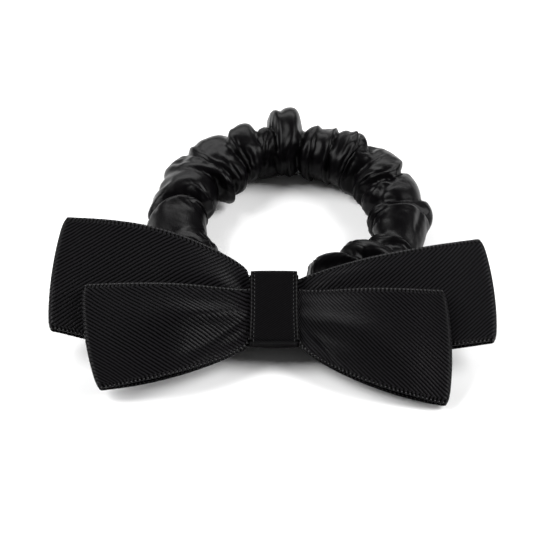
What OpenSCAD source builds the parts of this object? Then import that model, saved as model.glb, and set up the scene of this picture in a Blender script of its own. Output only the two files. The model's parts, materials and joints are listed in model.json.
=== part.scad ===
// Hair scrunchie with a double satin ribbon bow, lying on a flat surface.
// Origin: the middle of the ring, on the surface it lies on. +Z is up, and the bow is on the -Y side.
// Units are millimetres.

/* [Scrunchie ring] */
// Radius of the ring's middle line, seen from above
ring_r = 23.7; // [19:0.1:32]
// Radius of the gathered satin sleeve
sleeve_r = 5.8; // [5:0.1:8]
// Radius of the sleeve where the bow grips it
neck_r = 4; // [3.4:0.1:4.4]
// Thickness of the sleeve's gathered satin
sleeve_wall = 0.6; // [0.4:0.1:0.9]
// How deep the soft sleeve is pressed flat where it lies on the surface
press_depth = 0.5; // [0.3:0.05:0.8]
// How far the bow draws the front of the ring out of round
front_pull = 2.5; // [0:0.5:6]
// Sideways place of the bow on the ring, measured from the ring's middle
knot_x = -3.1; // [-6:0.1:6]
// Thickness of the elastic cord
elastic_d = 3; // [2:0.1:4]
// Length of the thread whipping that joins the elastic's ends
whipping_l = 5; // [3:0.5:8]

/* [Bow] */
// Width of the satin ribbon that both bows are made of
ribbon_w = 25; // [20:0.5:32]
// Thickness of the ribbon
ribbon_t = 0.5; // [0.3:0.05:0.6]
// Height of the ribbons where the band pinches them together
pinch_h = 14.9; // [12:0.1:18]
// Length of the back bow's left loop, from the knot's middle to its fold
back_left_l = 46.5; // [38:0.5:58]
// Length of the back bow's right loop
back_right_l = 45.2; // [38:0.5:58]
// Length of the front bow's left loop
front_left_l = 38.9; // [32:0.5:48]
// Length of the front bow's right loop
front_right_l = 37.4; // [32:0.5:48]
// Width of the band round the knot
band_w = 10; // [8:0.5:12]
// Thickness of the band
band_t = 0.5; // [0.3:0.05:0.7]
// How far the bow's middle sits below the sleeve's middle, down the slope of the bow
bow_drop = 3.5; // [3:0.1:5]
// Thickness of the sewing thread
thread_d = 0.28; // [0.2:0.02:0.36]

/* [Hidden] */

// Shades of black, so that neighbouring pieces can be told apart
satin_black = [0.07, 0.07, 0.08];
sleeve_black = [0.11, 0.11, 0.12];
ribbon_black = [0.15, 0.15, 0.16];
band_black = [0.2, 0.2, 0.21];
thread_black = [0.3, 0.3, 0.31];

// Room between the bow's pieces and the sleeve that they turn on
turn_gap = 0.3;
// Room between pieces of the same bow
lay_gap = 0.05;
// Room between the two layers of a ribbon at the knot
layer_gap = 0.3;

// --- The ring's route ---------------------------------------------------------------------------
// The sleeve runs straight through the band, bends away on each side and joins a round arc.
join_angle = 45;
neck_half = band_w / 2 + 0.8;
end_gap = 1;
ring_z = sleeve_r - press_depth;
knot_y = -(ring_r + front_pull);
bend_steps = 8;
arc_steps = 40;
tube_sides = 20;

function hermite(p0, m0, p1, m1, t) =
    (2 * pow(t, 3) - 3 * pow(t, 2) + 1) * p0 + (pow(t, 3) - 2 * pow(t, 2) + t) * m0
    + (3 * pow(t, 2) - 2 * pow(t, 3)) * p1 + (pow(t, 3) - pow(t, 2)) * m1;
function smooth(t) = t * t * (3 - 2 * t);
function ring_point(a) = [ring_r * sin(a), -ring_r * cos(a), ring_z];
function neck_point(x) = [knot_x + x, knot_y, ring_z];

// The bend from the neck's end to the arc; side is 1 on the right and -1 on the left
function bend_point(side, t) =
    let (start = neck_point(side * neck_half), stop = ring_point(side * join_angle),
         pull = norm(stop - start))
    hermite(start, [side * pull, 0, 0], stop,
            pull * [side * cos(join_angle), sin(join_angle), 0], t);

// Each row is a point and the sleeve's radius there, from the right of the gap round to its left
ring_route = concat(
    [for (x = [end_gap / 2, neck_half / 2]) [neck_point(x), neck_r]],
    [for (i = [0:bend_steps - 1])
        [bend_point(1, i / bend_steps), neck_r + (sleeve_r - neck_r) * smooth(i / bend_steps)]],
    [for (i = [0:arc_steps])
        [ring_point(join_angle + i * (360 - 2 * join_angle) / arc_steps), sleeve_r]],
    [for (i = [bend_steps - 1:-1:0])
        [bend_point(-1, i / bend_steps), neck_r + (sleeve_r - neck_r) * smooth(i / bend_steps)]],
    [for (x = [neck_half / 2, end_gap / 2]) [neck_point(-x), neck_r]]);

function unit(v) = v / norm(v);
function heading(i) =
    let (n = len(ring_route))
    (i == 0 || i == n - 1) ? [1, 0, 0]
    : unit(ring_route[i + 1][0] - ring_route[i - 1][0]);

// One round section of the tube, pressed flat at height low and shifted out from the route
function section(i, r, sides, low, shift = 0) =
    let (ahead = heading(i), out = cross(ahead, [0, 0, 1]), c = ring_route[i][0] + shift * out)
    [for (k = [0:sides - 1])
        let (p = c + r * (cos(360 * k / sides) * out + sin(360 * k / sides) * [0, 0, 1]))
        [p.x, p.y, max(p.z, low)]];

// Triangles of a wall between section i and the next, the points of a section being in a row
function wall_faces(count, sides, first, flip) =
    [for (i = [0:count - 2], k = [0:sides - 1])
        let (a = first + i * sides + k, b = first + i * sides + (k + 1) % sides)
        each (flip ? [[a, b + sides, b], [a, a + sides, b + sides]]
                   : [[a, b, b + sides], [a, b + sides, a + sides]])];

function cap_faces(sides, outer, inner, flip) =
    [for (k = [0:sides - 1])
        let (a = outer + k, b = outer + (k + 1) % sides, c = inner + k, d = inner + (k + 1) % sides)
        each (flip ? [[a, c, d], [a, d, b]] : [[a, d, c], [a, b, d]])];

// A solid bar through count sections, closed at both ends
module swept_bar(points, count, sides) {
    first = [for (k = [sides - 1:-1:0]) k];
    last = [for (k = [0:sides - 1]) (count - 1) * sides + k];
    polyhedron(points, concat(wall_faces(count, sides, 0, false), [first, last]));
}

module satin_sleeve() {
    n = len(ring_route);
    outer = [for (i = [0:n - 1]) each section(i, ring_route[i][1], tube_sides, 0)];
    inner = [for (i = [0:n - 1])
        each section(i, ring_route[i][1] - sleeve_wall, tube_sides, sleeve_wall)];
    color(sleeve_black)
        polyhedron(concat(outer, inner), concat(
            wall_faces(n, tube_sides, 0, false),
            wall_faces(n, tube_sides, n * tube_sides, true),
            cap_faces(tube_sides, 0, n * tube_sides, true),
            cap_faces(tube_sides, (n - 1) * tube_sides, (2 * n - 1) * tube_sides, false)));
}

// The lengthwise seam that makes the satin a tube: one run of thread just inside the wall, on the
// side of the ring's opening
module sleeve_seam_thread() {
    seam_sides = 6;
    n = len(ring_route);
    color(thread_black)
        swept_bar([for (i = [0:n - 1])
            each section(i, thread_d / 2, seam_sides, 0,
                         -(ring_route[i][1] - sleeve_wall - thread_d))], n, seam_sides);
}

// Short stitches that draw the sleeve's two ends together, set in the thickness of its wall
module sleeve_closing_stitches() {
    closing_stitches = 12;
    color(thread_black)
        translate(neck_point(0))
            for (i = [0:closing_stitches - 1])
                rotate([i * 360 / closing_stitches, 0, 0])
                    translate([0, neck_r - sleeve_wall / 2 - lay_gap, 0])
                        rotate([0, 90, 0])
                            cylinder(d = thread_d, h = end_gap, center = true, $fn = 16);
}

// The elastic lies inside the sleeve, and its ends meet in the middle of the neck
module elastic_loop() {
    elastic_sides = 10;
    n = len(ring_route);
    color(satin_black)
        swept_bar([for (i = [0:n - 1]) each section(i, elastic_d / 2, elastic_sides, 0)],
                  n, elastic_sides);
}

// Thread wound round the two ends of the elastic
module elastic_whipping() {
    color(thread_black)
        translate(neck_point(0))
            rotate([0, 90, 0])
                difference() {
                    cylinder(r = elastic_d / 2 + lay_gap + 2 * thread_d, h = whipping_l,
                             center = true, $fn = 48);
                    cylinder(r = elastic_d / 2 + lay_gap, h = whipping_l + 1, center = true,
                             $fn = 48);
                }
}

// --- The bow's own frame ------------------------------------------------------------------------
// Local x is along the bow, local y is up its slope and local z is out of its face. The local
// origin is the middle of the sleeve's neck, which the whole bow turns on.
thread_back_z = neck_r + turn_gap;
back_low_z = thread_back_z + thread_d + lay_gap;
stack_t = 2 * ribbon_t + layer_gap;
front_low_z = back_low_z + stack_t + lay_gap;
thread_front_z = front_low_z + stack_t + lay_gap;
band_low_z = thread_front_z + thread_d + lay_gap;

// Half the thickness of a loop where it is most open, and at its fold
loop_half_t = 1.4;
fold_half_t = 1.05;
// How far the loops rise out of the band, so that they pass over the thicker sleeve beside it
back_rise = 1.1;
front_rise = back_rise + 2 * loop_half_t - stack_t + turn_gap;

// Each loop: [side, length, turn from level, turn of its fold from square]
back_loops = [[-1, back_left_l, 9.7, 0], [1, back_right_l, 4.8, 0]];
front_loops = [[-1, front_left_l, -9.2, 0], [1, front_right_l, -14, 10]];
// Half the length that lies pinched flat inside the band
grip_half = band_w / 2 + 0.6;
// The length over which a loop rises out of the band
rise_l = 6;
// How fast each bow spreads to the ribbon's full width: less is sooner
back_spread = 0.35;
front_spread = 1.1;

// The lowest point of the front bow, which rests on the surface and so sets the bow's slope
function loop_low_y(l) = l[1] * sin(l[2]) - ribbon_w / 2 * cos(l[2] + l[3]);
tip_y = min([for (l = front_loops) loop_low_y(l)]) - bow_drop;
tip_z = front_low_z + stack_t / 2 + front_rise - fold_half_t;
rest_gap = 0.05;
bow_slope = acos((rest_gap - ring_z) / norm([tip_y, tip_z])) - atan2(-tip_y, tip_z);

module bow_frame() {
    translate(neck_point(0))
        rotate([bow_slope, 0, 0])
            children();
}

// The strip of ribbon at share u of a loop's length: front is 1 on the front layer, -1 behind.
// A row is [middle, half of its width as a vector].
function strip_row(l, u, front, mid_z, rise, spread) =
    let (free_u = max(0, u - grip_half / l[1]) / (1 - grip_half / l[1]),
         width = pinch_h + (ribbon_w - pinch_h) * pow(free_u, spread),
         turn = free_u * (l[2] + l[3]),
         lift = smooth(min(1, free_u * (l[1] - grip_half) / rise_l)),
         slack_t = stack_t / 2 + (loop_half_t - stack_t / 2) * lift,
         half_t = (free_u < 0.8 ? slack_t
                   : slack_t + (fold_half_t - slack_t) * (free_u - 0.8) / 0.2) - ribbon_t / 2)
    [[l[0] * l[1] * u * cos(l[2]), l[1] * sin(l[2]) * free_u - bow_drop,
      mid_z + rise * lift + front * half_t],
     width / 2 * [-l[0] * sin(turn), cos(turn), 0]];

// The round end of a loop, a half turn from its front layer to its back one
function fold_row(l, a, mid_z, rise) =
    let (turn = l[2] + l[3], r = fold_half_t - ribbon_t / 2)
    [[l[0] * (l[1] * cos(l[2]) - fold_half_t + r * sin(a)),
      l[1] * sin(l[2]) - bow_drop, mid_z + rise + r * cos(a)],
     ribbon_w / 2 * [-l[0] * sin(turn), cos(turn), 0]];

// Steps of a loop: one in the band, some where it rises out of the band, the rest to its fold
rise_steps = 5;
loop_steps = 12;
fold_steps = 6;
function loop_share(l, i) =
    let (rise_end = (grip_half + rise_l) / l[1])
    i == 0 ? 0
    : i <= rise_steps + 1 ? (grip_half + (i - 1) / rise_steps * rise_l) / l[1]
    : rise_end + (0.97 - rise_end) * (i - rise_steps - 1) / (loop_steps - rise_steps - 1);

// All the rows of a bow: out along the front of the right loop, round its fold, back behind it,
// and the same on the left
function bow_rows(loops, mid_z, rise, spread) = concat(
    [for (i = [0:loop_steps]) strip_row(loops[1], loop_share(loops[1], i), 1, mid_z, rise, spread)],
    [for (j = [1:fold_steps - 1]) fold_row(loops[1], 180 * j / fold_steps, mid_z, rise)],
    [for (i = [loop_steps:-1:0]) strip_row(loops[1], loop_share(loops[1], i), -1, mid_z, rise, spread)],
    [for (i = [1:loop_steps]) strip_row(loops[0], loop_share(loops[0], i), -1, mid_z, rise, spread)],
    [for (j = [fold_steps - 1:-1:1]) fold_row(loops[0], 180 * j / fold_steps, mid_z, rise)],
    [for (i = [loop_steps:-1:1]) strip_row(loops[0], loop_share(loops[0], i), 1, mid_z, rise, spread)]);

// A ribbon of even thickness that follows the rows round and closes on itself
module ribbon_ring(rows) {
    n = len(rows);
    points = [for (i = [0:n - 1])
        let (ahead = rows[(i + 1) % n][0] - rows[(i + n - 1) % n][0],
             side = unit(rows[i][1]),
             out = unit(cross(side, ahead)) * ribbon_t / 2)
        each [rows[i][0] + rows[i][1] + out, rows[i][0] + rows[i][1] - out,
              rows[i][0] - rows[i][1] - out, rows[i][0] - rows[i][1] + out]];
    faces = [for (i = [0:n - 1], k = [0:3])
        let (a = 4 * i + k, b = 4 * i + (k + 1) % 4,
             c = 4 * ((i + 1) % n) + k, d = 4 * ((i + 1) % n) + (k + 1) % 4)
        each [[a, d, b], [a, c, d]]];
    polyhedron(points, faces);
}

module back_bow_ribbon() {
    color(ribbon_black)
        bow_frame()
            ribbon_ring(bow_rows(back_loops, back_low_z + stack_t / 2, back_rise, back_spread));
}

module front_bow_ribbon() {
    color(ribbon_black)
        bow_frame()
            ribbon_ring(bow_rows(front_loops, front_low_z + stack_t / 2, front_rise,
                                 front_spread));
}

// A row of stitches across the ribbon's lapped ends, between its two layers
module lap_stitches(low_z) {
    lap_count = 5;
    lap_pitch = pinch_h / (lap_count + 0.5);
    for (i = [0:lap_count - 1])
        translate([0, (i - (lap_count - 1) / 2) * lap_pitch - bow_drop, low_z + stack_t / 2])
            rotate([90, 0, 0])
                cylinder(d = min(thread_d, layer_gap - lay_gap), h = 0.6 * lap_pitch,
                         center = true, $fn = 16);
}

module back_bow_stitches() {
    color(thread_black)
        bow_frame()
            lap_stitches(back_low_z);
}

module front_bow_stitches() {
    color(thread_black)
        bow_frame()
            lap_stitches(front_low_z);
}

// Three turns of thread that gather both bows at their middle, under the band
module gathering_thread() {
    turns = 3;
    turn_pitch = 1.4;
    low = thread_back_z;
    high = thread_front_z + thread_d;
    color(thread_black)
        bow_frame()
            for (i = [0:turns - 1])
                translate([(i - (turns - 1) / 2) * turn_pitch, -bow_drop, (low + high) / 2])
                    difference() {
                        cube([thread_d, pinch_h + 2 * lay_gap + 2 * thread_d, high - low],
                             center = true);
                        cube([thread_d + 1, pinch_h + 2 * lay_gap, high - low - 2 * thread_d],
                             center = true);
                    }
}

// Outline of the band's loop seen along the bow, grown by grow: flat over the ribbons in front,
// and round the sleeve behind
module band_outline(grow) {
    corner = 2 * lay_gap;
    half = pinch_h / 2 + 2 * lay_gap + thread_d - corner;
    hull() {
        circle(r = neck_r + turn_gap + grow, $fn = 64);
        for (side = [-1, 1])
            for (z = [thread_back_z, band_low_z - corner])
                translate([side * half - bow_drop, z])
                    circle(r = corner + grow, $fn = 24);
    }
}

module knot_band() {
    color(band_black)
        bow_frame()
            rotate([90, 0, 90])
                linear_extrude(band_w, center = true)
                    difference() {
                        band_outline(band_t);
                        band_outline(0);
                    }
}

// Stitches that hold down the band's lapped end, behind the sleeve
module band_tack_stitches() {
    tack_count = 5;
    tack_pitch = band_w / (tack_count + 1);
    color(thread_black)
        bow_frame()
            for (i = [0:tack_count - 1])
                translate([(i - (tack_count - 1) / 2) * tack_pitch, 0,
                           -(neck_r + turn_gap + band_t)])
                    rotate([0, 90, 30])
                        cylinder(d = thread_d, h = 0.7 * tack_pitch, center = true, $fn = 16);
}

satin_sleeve();
sleeve_seam_thread();
sleeve_closing_stitches();
elastic_loop();
elastic_whipping();
back_bow_ribbon();
back_bow_stitches();
front_bow_ribbon();
front_bow_stitches();
gathering_thread();
knot_band();
band_tack_stitches();
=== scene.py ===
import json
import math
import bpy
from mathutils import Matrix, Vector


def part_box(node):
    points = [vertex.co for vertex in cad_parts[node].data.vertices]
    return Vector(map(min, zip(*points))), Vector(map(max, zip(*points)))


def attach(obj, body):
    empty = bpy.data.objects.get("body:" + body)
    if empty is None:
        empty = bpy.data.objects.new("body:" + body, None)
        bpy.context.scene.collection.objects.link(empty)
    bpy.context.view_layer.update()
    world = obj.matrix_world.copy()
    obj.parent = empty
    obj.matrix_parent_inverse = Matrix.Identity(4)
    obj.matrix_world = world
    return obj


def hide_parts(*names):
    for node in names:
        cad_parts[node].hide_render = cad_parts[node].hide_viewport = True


bl_info = {
    "name": "Satin Bow Scrunchie",
    "version": (1, 0, 0),
    "blender": (4, 5, 0),
    "location": "3D View > Sidebar > Scrunchie",
    "description": "Gathered satin hair scrunchie with a double ribbon bow, round its packed frame",
    "category": "Object",
}

import bpy
import numpy as np
from mathutils import Vector

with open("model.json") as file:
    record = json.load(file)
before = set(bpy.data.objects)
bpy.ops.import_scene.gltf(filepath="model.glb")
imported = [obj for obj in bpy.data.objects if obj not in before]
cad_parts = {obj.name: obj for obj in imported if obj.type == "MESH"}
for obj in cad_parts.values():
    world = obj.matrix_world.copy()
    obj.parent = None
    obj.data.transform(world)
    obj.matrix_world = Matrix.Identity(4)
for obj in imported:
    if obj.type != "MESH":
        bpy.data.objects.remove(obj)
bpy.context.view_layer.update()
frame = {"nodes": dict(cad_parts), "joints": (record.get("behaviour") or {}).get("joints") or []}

MM = 0.001
TAU = 2 * math.pi
UP = np.array([0, 0, 1.0])
BOWS = ("back", "front")


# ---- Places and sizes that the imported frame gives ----
ROLL = next(j for j in frame["joints"] if j["name"] == "bow_roll")
ROLL_LOW = math.radians(min(ROLL["range_deg"]))
KNOT = np.array(ROLL["pos_m"])
SLEEVE_HIGH = np.array(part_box("satin_sleeve")[1])
RING_R = SLEEVE_HIGH[0] - (SLEEVE_HIGH[2] - KNOT[2])
RING_Z = KNOT[2]


def facing_of(node):
    """Unit normal of a node's largest flat face that looks upwards."""
    best = max((p for p in frame["nodes"][node].data.polygons if p.normal.z > 0.3),
               key=lambda p: p.area)
    return np.array(best.normal)


BOW_OUT = facing_of("knot_band")
BOW_UP = np.cross(BOW_OUT, [1.0, 0.0, 0.0])
BOW_UP /= np.linalg.norm(BOW_UP)
BOW_AXES = np.array([[1.0, 0.0, 0.0], BOW_UP, BOW_OUT])


def from_bow(points):
    """Points in the bow's own frame (along, up the slope, out of its face) to the row frame."""
    return KNOT + np.asarray(points) @ BOW_AXES


def to_bow(points):
    """Points in the row frame to the bow's own frame."""
    return (np.asarray(points) - KNOT) @ BOW_AXES.T


def mesh_points(mesh):
    """A mesh's points, one row each."""
    flat = np.empty(len(mesh.vertices) * 3)
    mesh.vertices.foreach_get("co", flat)
    return flat.reshape(-1, 3)


def bow_box(node):
    """A node's box in the bow's own frame."""
    local = to_bow(mesh_points(frame["nodes"][node].data))
    return local.min(axis=0), local.max(axis=0)


BAND_LOW, BAND_HIGH = bow_box("knot_band")
BAND_HALF = (BAND_HIGH[0] - BAND_LOW[0]) / 2
# How far out of the bow's face each ribbon reaches, and the middle of each ribbon's stitches
RIBBON_TOP = {bow: bow_box(bow + "_bow_ribbon")[1][2] for bow in BOWS}
STITCH_MID = {bow: sum(bow_box(bow + "_bow_stitches")) / 2 for bow in BOWS}


def smooth(t):
    """Eased step from 0 to 1."""
    t = np.clip(t, 0.0, 1.0)
    return t * t * (3 - 2 * t)


# ---- Settings ----
def length_setting(name, description, default):
    return bpy.props.FloatProperty(name=name, description=description, default=default,
                                   unit="LENGTH")


def angle_setting(name, description, degrees):
    return bpy.props.FloatProperty(name=name, description=description, unit="ROTATION",
                                   default=math.radians(degrees), subtype="ANGLE")


def colour_setting(name, description, default):
    return bpy.props.FloatVectorProperty(name=name, description=description, default=default,
                                         subtype="COLOR", size=3, min=0, max=1)


class SleeveSettings(bpy.types.PropertyGroup):
    """Sizes and colour of the gathered satin sleeve"""
    neck_radius: length_setting(
        "Neck radius", "Radius of the sleeve inside the bow's band", 3.95 * MM)
    neck_half: length_setting(
        "Neck half length", "Half the straight length that the bow turns on", 5.8 * MM)
    satin_thickness: length_setting(
        "Satin thickness", "Thickness of the sleeve's satin", 0.25 * MM)
    flat_width: length_setting(
        "Flat width", "Width that the sleeve's satin was cut to", 38 * MM)
    flat_length: length_setting(
        "Flat length", "Length that the sleeve's satin was cut to", 215 * MM)
    crease_count: bpy.props.IntProperty(
        name="Creases", description="Small creases between the gathers, all round the ring",
        default=28, min=10, max=90)
    crease_depth: length_setting(
        "Crease depth", "Depth of the creases between the gathers", 0.55 * MM)
    colour: colour_setting(
        "Colour", "Colour of the sleeve's satin", (0.0012, 0.0010, 0.0013))


class BowSettings(bpy.types.PropertyGroup):
    """Sizes and colours of the two ribbon bows and the band"""
    ribbon_width: length_setting("Ribbon width", "Width of the satin ribbon", 25 * MM)
    ribbon_thickness: length_setting(
        "Ribbon thickness", "Thickness of the satin ribbon", 0.3 * MM)
    lap: length_setting(
        "Lap", "How far each end of a ribbon runs past the middle", 6 * MM)
    grip_half: length_setting(
        "Grip", "Half the length of ribbon held flat inside the band", 5.2 * MM)
    twill_pitch: length_setting(
        "Twill pitch", "Distance between the ribbon's diagonal lines", 0.69 * MM)
    twill_angle: angle_setting(
        "Twill angle", "Slant of the diagonal lines along the ribbon", 38)
    selvedge_pitch: length_setting(
        "Selvedge pitch", "Distance between the bars of the woven edge", 0.86 * MM)
    ribbon_colour: colour_setting(
        "Ribbon colour", "Colour of the ribbon's satin", (0.00062, 0.00059, 0.00066))
    band_colour: colour_setting(
        "Band colour", "Colour of the band's satin", (0.0004, 0.00038, 0.00042))


class StageSettings(bpy.types.PropertyGroup):
    """Camera and light"""
    elevation: angle_setting("Elevation", "The camera's angle above level", 40)
    distance: length_setting("Distance", "From the camera to the scrunchie", 0.9)
    view_width: length_setting(
        "View width", "Width that the picture covers at the ring's middle", 115.7 * MM)


# ---- Mesh helpers ----
def new_object(name, data):
    obj = bpy.data.objects.new(name, data)
    bpy.context.scene.collection.objects.link(obj)
    return obj


def grid_mesh(name, points, maps, close_across=False):
    """An object from a grid of points [along][across], with its UV maps, facing outwards."""
    rows, cols = points.shape[:2]
    faces, corners = [], []
    for i in range(rows - 1):
        for j in range(cols if close_across else cols - 1):
            i2, j2 = i + 1, (j + 1) % cols
            faces.append((i * cols + j, i2 * cols + j, i2 * cols + j2, i * cols + j2))
            corners.append(((i, j), (i + 1, j), (i + 1, j + 1), (i, j + 1)))
    mesh = bpy.data.meshes.new(name)
    mesh.from_pydata(points.reshape(-1, 3).tolist(), [], faces)
    places = np.array([place for face in corners for place in face])
    for label, uvs in maps.items():
        layer = mesh.uv_layers.new(name=label)
        flat = np.asarray(uvs)[places[:, 0], places[:, 1]].astype(np.float32)
        layer.data.foreach_set("uv", flat.ravel())
    mesh.polygons.foreach_set("use_smooth", [True] * len(mesh.polygons))
    mesh.update()
    return new_object(name, mesh)


def uv_grid(along, across):
    """UV places on a grid, from its places along (rows) and across (columns)."""
    return np.stack(np.broadcast_arrays(along[:, None], across), axis=-1)


def strip_maps(points, run, flat_across):
    """A strip's two UV maps. Cloth has its places on the flat cut. Weave has true distances
    across it, so the weave keeps its scale where pleats hide part of the width."""
    steps = np.linalg.norm(np.diff(points, axis=1), axis=2)
    across = np.concatenate([np.zeros((len(points), 1)), np.cumsum(steps, axis=1)], axis=1)
    across -= across[:, points.shape[1] // 2][:, None]
    return {"Cloth": uv_grid(run, flat_across[None, :]), "Weave": uv_grid(run, across)}


def thicken(obj, thickness, offset=0.0):
    """Gives a cloth surface its thickness."""
    solid = obj.modifiers.new("Thickness", "SOLIDIFY")
    solid.thickness = thickness
    solid.offset = offset
    solid.use_even_offset = False


def lengths_along(points):
    """Running length along a row of points, from 0."""
    steps = np.linalg.norm(np.diff(points, axis=0), axis=1)
    return np.concatenate([[0.0], np.cumsum(steps)])


def unit(vectors):
    """Rows of vectors brought to length 1."""
    return vectors / np.linalg.norm(vectors, axis=-1, keepdims=True)


# ---- Materials ----
def add(tree, kind, inputs=(), **attributes):
    """A node with its attributes, and its inputs set or linked."""
    new = tree.nodes.new(kind)
    for key, value in attributes.items():
        setattr(new, key, value)
    for key, value in dict(inputs).items():
        if isinstance(value, bpy.types.NodeSocket):
            tree.links.new(value, new.inputs[key])
        else:
            new.inputs[key].default_value = value
    return new


def maths(tree, operation, a, b=0.0, c=0.0):
    return add(tree, "ShaderNodeMath", {0: a, 1: b, 2: c}, operation=operation).outputs[0]


def wave_shade(tree, wave):
    """A wave of -1 to 1 as a shade of 0 to 1."""
    return maths(tree, "MULTIPLY_ADD", wave, 0.5, 0.5)


def noise(tree, place, scale, detail, roughness, distortion=0.0):
    return add(tree, "ShaderNodeTexNoise", {
        "Vector": place, "Scale": scale, "Detail": detail, "Roughness": roughness,
        "Distortion": distortion}).outputs[0]


def object_place(tree):
    return add(tree, "ShaderNodeTexCoord").outputs["Object"]


def new_group(name, kind, takes, gives):
    """A node group with its sockets, and the ends of its input and output nodes. A socket is
    given as its kind, or as the value of a float."""
    tree = bpy.data.node_groups.new(name, kind)
    for side, sockets in (("INPUT", takes), ("OUTPUT", gives)):
        for label, value in sockets.items():
            word = value if isinstance(value, str) else "Float"
            made = tree.interface.new_socket(label, in_out=side, socket_type="NodeSocket" + word)
            if word == "Float":
                made.default_value = value
    return tree, add(tree, "NodeGroupInput").outputs, add(tree, "NodeGroupOutput").inputs


def weave_group(name):
    """Twill and selvedge of a woven satin ribbon, as height over its UV maps, and as a shade that
    is painted light: painted sheen on the raised threads and bars, painted shade between them.
    """
    tree, given, out = new_group(name, "ShaderNodeTree", {
        "Cloth UV": "Vector", "Weave UV": "Vector", "Pitch": 0.7 * MM, "Angle": 0.66,
        "Half width": 12.5 * MM, "Border": 0.9 * MM, "Bar pitch": 0.86 * MM},
        {"Height": 0.0, "Shade": 0.0})
    flat = add(tree, "ShaderNodeSeparateXYZ", {0: given["Cloth UV"]}).outputs
    laid = add(tree, "ShaderNodeSeparateXYZ", {0: given["Weave UV"]}).outputs
    run = maths(tree, "SUBTRACT",
                maths(tree, "MULTIPLY", laid[0], maths(tree, "SINE", given["Angle"])),
                maths(tree, "MULTIPLY", laid[1], maths(tree, "COSINE", given["Angle"])))
    drift = noise(tree, given["Cloth UV"], 160.0, 2.0, 0.6)
    wander = maths(tree, "MULTIPLY", maths(tree, "SUBTRACT", drift, 0.5), 0.5)
    phase = maths(tree, "ADD", maths(tree, "DIVIDE", run, given["Pitch"]), wander)
    twill = wave_shade(tree, maths(tree, "SINE", maths(tree, "MULTIPLY", phase, TAU)))
    # Each diagonal line is broken by the crossing threads
    floats = noise(tree, given["Cloth UV"], 2400.0, 1.0, 0.5)
    line = maths(tree, "MULTIPLY_ADD", floats, 0.5, maths(tree, "MULTIPLY", twill, 0.75))
    edge = maths(tree, "SUBTRACT", given["Half width"], maths(tree, "ABSOLUTE", flat[1]))
    border = maths(tree, "LESS_THAN", edge, given["Border"])
    turns = maths(tree, "MULTIPLY", maths(tree, "DIVIDE", flat[0], given["Bar pitch"]), TAU)
    bars = wave_shade(tree, maths(tree, "SINE", turns))
    # A shallow groove parts the border from the field
    groove = maths(tree, "COMPARE", edge, given["Border"], 0.12 * MM)
    mixed = add(tree, "ShaderNodeMix", {0: border, 2: line, 3: bars}).outputs[0]
    height = maths(tree, "SUBTRACT", mixed, maths(tree, "MULTIPLY", groove, 0.6))
    # Painted sheen and shade: this follows the threads' height, far lighter on the raised twill
    # lines and edge bars and darker in the gaps between them
    painted_sheen_and_shade = add(tree, "ShaderNodeClamp", {0: maths(tree, "MULTIPLY_ADD", mixed, 1.9, -0.62)})
    tree.links.new(height, out["Height"])
    tree.links.new(painted_sheen_and_shade.outputs[0], out["Shade"])
    return tree


def drift_group(name):
    """Slow changes over the cloth, and specks of lint."""
    tree, given, out = new_group(name, "ShaderNodeTree", {"Place": "Vector", "Scale": 60.0},
                                 {"Drift": 0.0, "Lint": 0.0})
    tree.links.new(noise(tree, given["Place"], given["Scale"], 3.0, 0.55), out["Drift"])
    specks = noise(tree, given["Place"], 1500.0, 2.0, 0.7)
    lint = maths(tree, "MULTIPLY", maths(tree, "SUBTRACT", specks, 0.68), 6.0)
    tree.links.new(add(tree, "ShaderNodeClamp", {0: lint}).outputs[0], out["Lint"])
    return tree


def place_group(tree, name, build, inputs):
    """A node group, made once by its own function, placed in a material."""
    group = bpy.data.node_groups.get(name) or build(name)
    return add(tree, "ShaderNodeGroup", inputs, node_tree=group).outputs


def mixed_colour(tree, factor, first, second):
    """Colour between two others by a factor."""
    return add(tree, "ShaderNodeMix", {0: factor, 6: first, 7: second},
               data_type="RGBA").outputs[2]


def shaded(tree, colour, dark, light, factor):
    """A colour between its darker and its lighter share, by a factor."""
    return mixed_colour(tree, factor, (*(dark * c for c in colour), 1),
                        (*(light * c for c in colour), 1))


def new_material(name, roughness, specular, sheen=0.0, sheen_roughness=0.5):
    material = bpy.data.materials.new(name)
    material.use_nodes = True
    tree = material.node_tree
    shader = tree.nodes["Principled BSDF"]
    for label, value in (("Roughness", roughness), ("Specular IOR Level", specular),
                         ("Sheen Weight", sheen), ("Sheen Roughness", sheen_roughness),
                         ("Sheen Tint", (0.86, 0.82, 0.9, 1))):
        shader.inputs[label].default_value = value
    return material, tree, shader


def finish_material(tree, shader, colour, strength, depth, height, roughness=None):
    """Links a material's colour, its bumps and, where it changes, its roughness."""
    tree.links.new(colour, shader.inputs["Base Color"])
    if roughness is not None:
        tree.links.new(roughness, shader.inputs["Roughness"])
    bump = add(tree, "ShaderNodeBump", {"Strength": strength, "Distance": depth,
                                        "Height": height})
    tree.links.new(bump.outputs[0], shader.inputs["Normal"])


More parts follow.
